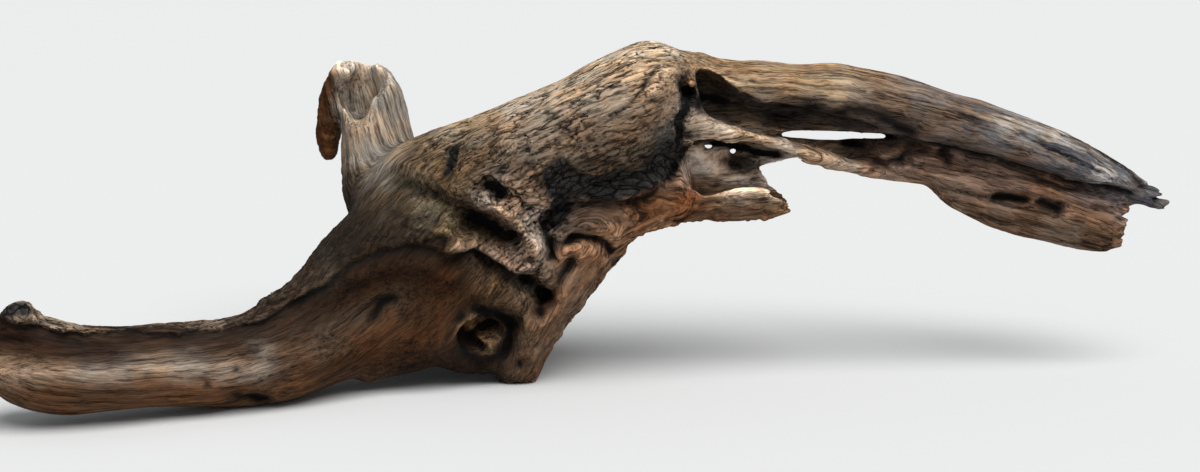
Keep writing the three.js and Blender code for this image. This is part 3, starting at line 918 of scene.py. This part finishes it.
def shapeFinely(wood):
    # the broken ends and the fine relief, then what the material reads at each point
    skinned(wood, driftwood["fineVoxel"])
    links = neighbours(wood.data)
    points = frayed(averaged(positions(wood.data), links, 2))
    move(wood.data, points)
    g = grainPlace(points)
    normals = normalsOf(wood.data)
    part = regions(points, normals)
    points, wrinkle = fineRelief(points, normals, g, part)
    points = overFloor(points)
    move(wood.data, points)

    normals = normalsOf(wood.data)
    # how sunk each point is: the material paints shade in hollows and highlights on ridges from it
    wide = sunk(points, normals, links, 24, driftwood["wideCavity"])
    near = sunk(points, normals, links, 4, driftwood["nearCavity"])
    cavity = np.clip(.55 * wide + .45 * near, -1, 1)
    # the dark marks: painted shade from the carved marks and the hollows, real cracks, and the real soot by
    # the char
    dark = np.maximum(carve(points, normals)[1], driftwood["hollowShade"] * part["hollow"])
    dark = np.maximum(dark, part["soot"])
    addAttribute(wood.data, "grain", g)
    # the zones' colours, with their painted light and shade
    addAttribute(wood.data, "tintAndShade", mixedTintAndShade(points, normals))
    addAttribute(wood.data, "tone", part["char"], part["bark"], np.maximum(part["torn"], .7 * part["log"]))
    # form: how sunk each point is and the dark marks, which the material paints as light and shade, and the
    # knots' rings
    addAttribute(wood.data, "form", cavity, dark, knotRings(points))
    addAttribute(wood.data, "kind", part["grey"], wrinkle, np.zeros(len(points)))


def thinOut(wood):
    # keeps the triangles within the limit
    triangles = triangleCount(wood.data)
    if triangles > driftwood["faceLimit"]:
        thin = wood.modifiers.new("thin", "DECIMATE")
        thin.ratio = driftwood["faceLimit"] / triangles
        settled(wood)
        move(wood.data, overFloor(positions(wood.data)))


def makeDriftwood():
    wood = cadCopy()
    shapeBroadly(wood)
    print("broad shape:", triangleCount(wood.data), "triangles")
    shapeFinely(wood)
    thinOut(wood)
    print("fine shape:", triangleCount(wood.data), "triangles")
    return wood


class Link:
    # one output of a shader node; Python's operators on it add Math nodes
    def __init__(self, shader, socket):
        self.shader, self.socket = shader, socket

    def math(self, operation, *inputs):
        return self.shader.node("ShaderNodeMath", {"operation": operation}, dict(enumerate(inputs)))

    def __add__(self, other):
        return self.math("ADD", self, other)

    def __sub__(self, other):
        return self.math("SUBTRACT", self, other)

    def __rsub__(self, other):
        return self.math("SUBTRACT", other, self)

    def __mul__(self, other):
        return self.math("MULTIPLY", self, other)

    __radd__ = __add__
    __rmul__ = __mul__

    def __abs__(self):
        return self.math("ABSOLUTE", self)

    def sine(self):
        return self.math("SINE", self)

    def atLeast(self, least):
        return self.math("MAXIMUM", self, least)

    def held(self):
        # kept between 0 and 1
        return self.shader.node("ShaderNodeClamp", {}, {0: self})

    def eased(self, start, end):
        # 0 up to start, 1 from end on; start may be above end
        return self.shader.node(
            "ShaderNodeMapRange", {"interpolation_type": "SMOOTHSTEP"}, {0: self, 1: start, 2: end}, 0)


class Shader:
    def __init__(self, name):
        self.material = bpy.data.materials.new(name)
        self.material.use_nodes = True
        self.tree = self.material.node_tree
        self.surface = self.tree.nodes["Principled BSDF"]

    def node(self, kind, settings, inputs, output=0):
        # any node: its settings, then the links or values of its inputs; "own" is a colour node's colour
        new = self.tree.nodes.new(kind)
        for key, value in settings.items():
            if key == "own":
                new.outputs[0].default_value = (*value, 1)
            else:
                setattr(new, key, value)
        for key, value in inputs.items():
            if isinstance(value, Link):
                self.tree.links.new(value.socket, new.inputs[key])
            else:
                new.inputs[key].default_value = value
        return Link(self, new.outputs[output])

    def attribute(self, name):
        return self.node("ShaderNodeAttribute", {"attribute_name": name}, {}, "Vector")

    def parts(self, vector):
        # its three numbers
        return [self.node("ShaderNodeSeparateXYZ", {}, {0: vector}, k) for k in range(3)]

    def stretched(self, vector, factors):
        return self.node("ShaderNodeVectorMath", {"operation": "MULTIPLY"}, {0: vector, 1: factors})

    def shifted(self, vector, other):
        return self.node("ShaderNodeVectorMath", {"operation": "ADD"}, {0: vector, 1: other})

    def noise(self, vector, size, detail, roughness, distortion=0.0):
        # a number around a half, in patches of the given size
        return self.node("ShaderNodeTexNoise", {}, {
            "Vector": vector, "Scale": 1 / size, "Detail": detail, "Roughness": roughness,
            "Distortion": distortion}, "Fac")

    def walls(self, vector, size):
        # distance to the nearest edge between cells
        return self.node("ShaderNodeTexVoronoi", {"feature": "DISTANCE_TO_EDGE"}, {
            "Vector": vector, "Scale": 1 / size}, "Distance")

    def mix(self, first, second, share, blend="MIX"):
        return self.node("ShaderNodeMix", {"data_type": "RGBA", "blend_type": blend, "clamp_factor": True},
                         {0: share, 6: self.colour(first), 7: self.colour(second)}, 2)

    def colour(self, value):
        return value if isinstance(value, Link) else (*value, 1)

    def plain(self, value):
        # one colour all over, to be lit or mixed
        return self.node("ShaderNodeRGB", {"own": value}, {})

    def lit(self, colour, amount):
        # the colour made lighter or darker by a number
        return self.node("ShaderNodeVectorMath", {"operation": "SCALE"}, {0: colour, 3: amount})

    def finish(self, colour, roughness, height, strength, distance):
        # what changes over the surface goes into the shader, the height through a Bump node
        bump = self.node(
            "ShaderNodeBump", {}, {"Height": height, "Strength": strength, "Distance": distance})
        for key, value in (("Base Color", colour), ("Roughness", roughness), ("Normal", bump)):
            self.tree.links.new(value.socket, self.surface.inputs[key])
        return self.material


def woodMaterial():
    s = Shader("weathered wood")
    grainAt = s.attribute("grain")
    tintAndShade = s.attribute("tintAndShade")
    place = s.node("ShaderNodeTexCoord", {}, {}, "Object")
    char, bark, torn = s.parts(s.attribute("tone"))
    # cavity and dark carry painted shade and painted highlight
    cavity, dark, knot = s.parts(s.attribute("form"))
    grey, wrinkle, _ = s.parts(s.attribute("kind"))

    # the grain wanders a little, and more in bark and in torn wood
    drift = s.node(
        "ShaderNodeTexNoise", {}, {"Vector": place, "Scale": 1 / driftwood["drift"], "Detail": 2.0}, "Color")
    far = driftwood["grainDrift"] + bark * driftwood["barkDrift"] + torn * driftwood["tornDrift"]
    flow = s.shifted(grainAt, s.lit(drift, far))

    def drawn(name, stretch, detail, roughness, distortion=0.0):
        # noise drawn out along the grain: the smaller the stretch, the longer its threads
        return s.noise(s.stretched(flow, (stretch, 1, 1)), driftwood[name], detail, roughness, distortion)

    fibre = drawn("fibre", .06, 4, .6)
    streak = drawn("streak", .07, 5, .62)
    band = drawn("band", .16, 4, .55)
    patch = s.noise(place, driftwood["patch"], 4, .6)
    speck = s.noise(place, driftwood["speck"], 3, .7)
    cork = drawn("wrinkle", .21, 6, .68, .35)
    pits = cork.eased(.46, .35)
    line = abs(drawn("meander", .20, 4, .55) - .5).eased(.016, .003) * band.eased(.42, .56)
    blockCrack = s.walls(s.stretched(flow, (.6, 1, 1)), driftwood["block"]).eased(.11, .0)
    hairs = drawn("hair", .018, 2, .5).eased(.575, .67)
    rings = (knot * 19).sine() * knot.eased(1.6, .9)
    stain = drawn("stain", .22, 5, .62)

    # how light each kind of wood is at a point, around 1
    fibrous = 1.06 + (streak - .5) * 3.4 + (fibre - .5) * 2.8 + (band - .5) * 1.8
    corky = 1.05 + (cork - .5) * 4.2 + (fibre - .5) * 1.2 + (band - .5) * 1.4 + rings * .14
    splintery = 1 + (streak - .5) * 5.0 + (fibre - .5) * 3.0 + (patch - .5) * 2.5
    light = fibrous + bark * (corky - fibrous) + torn * (splintery - fibrous)
    light = light.atLeast(.12)

    warmth = s.mix(driftwood["warm"], driftwood["cool"], patch.eased(.38, .62))
    # the zones' colours, painted light and shade among them, times warm and cool patches
    colour = s.lit(s.mix(tintAndShade, warmth, 1.0, "MULTIPLY"), light)
    greyWood = s.lit(s.plain(driftwood["tipStain"]), light)
    colour = s.mix(colour, greyWood, grey * stain.eased(.47, .56) * .90)
    coal = s.lit(s.plain(driftwood["coal"]), 1 + (speck - .5) * 3 + (fibre - .5) * 2)
    colour = s.mix(colour, coal, char)
    for name, share in (
        ("crackBrown", pits * bark * .66),
        ("crackBrown", line * (bark + .25) * .80),
        ("crackBrown", wrinkle * .75),
        ("coalCrack", blockCrack * char * .9),
        ("hairBrown", hairs * .60 * (1 - char)),
        # painted shade in the hollows
        ("cavityShade", cavity.eased(.05, .85) * .88),
    ):
        colour = s.mix(colour, driftwood[name], share.held())
    # painted highlight: raised points lighter, less on char
    colour = s.lit(colour, 1 + cavity.eased(-.10, -.90) * (.9 - char * .5))
    # painted shade from the marks and hollows nearly black, with the real cracks and soot
    colour = s.mix(colour, driftwood["shadeCrackAndSootBlack"], (dark * (patch * .5 + .80)).held())

    height = fibre * .20 + streak * .35 - hairs * .18 - line * (bark + .2) * .35
    height = height + bark * (cork * .8 - pits * .35 + rings * .10) - blockCrack * char * .8
    height = height + torn * (streak - .5) * .7 + speck * .10
    roughness = (.88 - char * .25 + fibre * .10).held()
    s.surface.inputs["Specular IOR Level"].default_value = driftwood["specular"]
    return s.finish(colour, roughness, height, driftwood["bumpStrength"], driftwood["bumpDistance"])


wood = makeDriftwood()
wood.data.materials.clear()
wood.data.materials.append(woodMaterial())
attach(wood, "root")
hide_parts("driftwood")
print("driftwood made")


studio = {
    "floorSize": 60.0,
    "floorColour": (.56, .56, .555),
    "floorRoughness": .9,
    "world": (.93, .97, 1.0),
    "worldStrength": .45,
    "sunStrength": 3.9,
    "sunAngle": 50,                     # degrees across; the wider it is, the softer the shadows
    "sunFrom": (.30, -.45, 1.0),
    "aim": (-.0055, .042, .106),        # where the camera looks, from the wood's base
    "cameraDistance": 1.5,
    "cameraElevation": 10,              # degrees above level
    "lens": 58.06,                      # millimetres, on a sensor 36 wide
}


def makeFloor():
    half = studio["floorSize"] / 2
    corners = [(-half, -half, base.z), (half, -half, base.z), (half, half, base.z), (-half, half, base.z)]
    mesh = bpy.data.meshes.new("floor")
    mesh.from_pydata(corners, [], [(0, 1, 2, 3)])
    floor = bpy.data.objects.new("floor", mesh)
    bpy.context.scene.collection.objects.link(floor)
    pale = Shader("pale floor")
    pale.surface.inputs["Base Color"].default_value = (*studio["floorColour"], 1)
    pale.surface.inputs["Roughness"].default_value = studio["floorRoughness"]
    mesh.materials.append(pale.material)


def makeWorld():
    world = bpy.data.worlds.new("studio")
    world.use_nodes = True
    background = world.node_tree.nodes["Background"]
    background.inputs["Color"].default_value = (*studio["world"], 1)
    background.inputs["Strength"].default_value = studio["worldStrength"]
    bpy.context.scene.world = world


def makeSun():
    sun = bpy.data.lights.new("softbox", "SUN")
    sun.energy = studio["sunStrength"]
    sun.angle = math.radians(studio["sunAngle"])
    obj = bpy.data.objects.new("softbox", sun)
    obj.rotation_euler = Vector(studio["sunFrom"]).to_track_quat("Z", "Y").to_euler()
    bpy.context.scene.collection.objects.link(obj)


def makeCamera():
    camera = bpy.data.cameras.new("camera")
    camera.sensor_width = 36
    camera.lens = studio["lens"]
    obj = bpy.data.objects.new("camera", camera)
    rise = math.radians(studio["cameraElevation"])
    back = Vector((0, -math.cos(rise), math.sin(rise)))
    obj.location = base + Vector(studio["aim"]) + studio["cameraDistance"] * back
    obj.rotation_euler = (math.radians(90) - rise, 0, 0)
    bpy.context.scene.collection.objects.link(obj)
    bpy.context.scene.camera = obj


makeFloor()
makeWorld()
makeSun()
makeCamera()
bpy.context.scene.view_settings.view_transform = "Standard"
print("studio made")
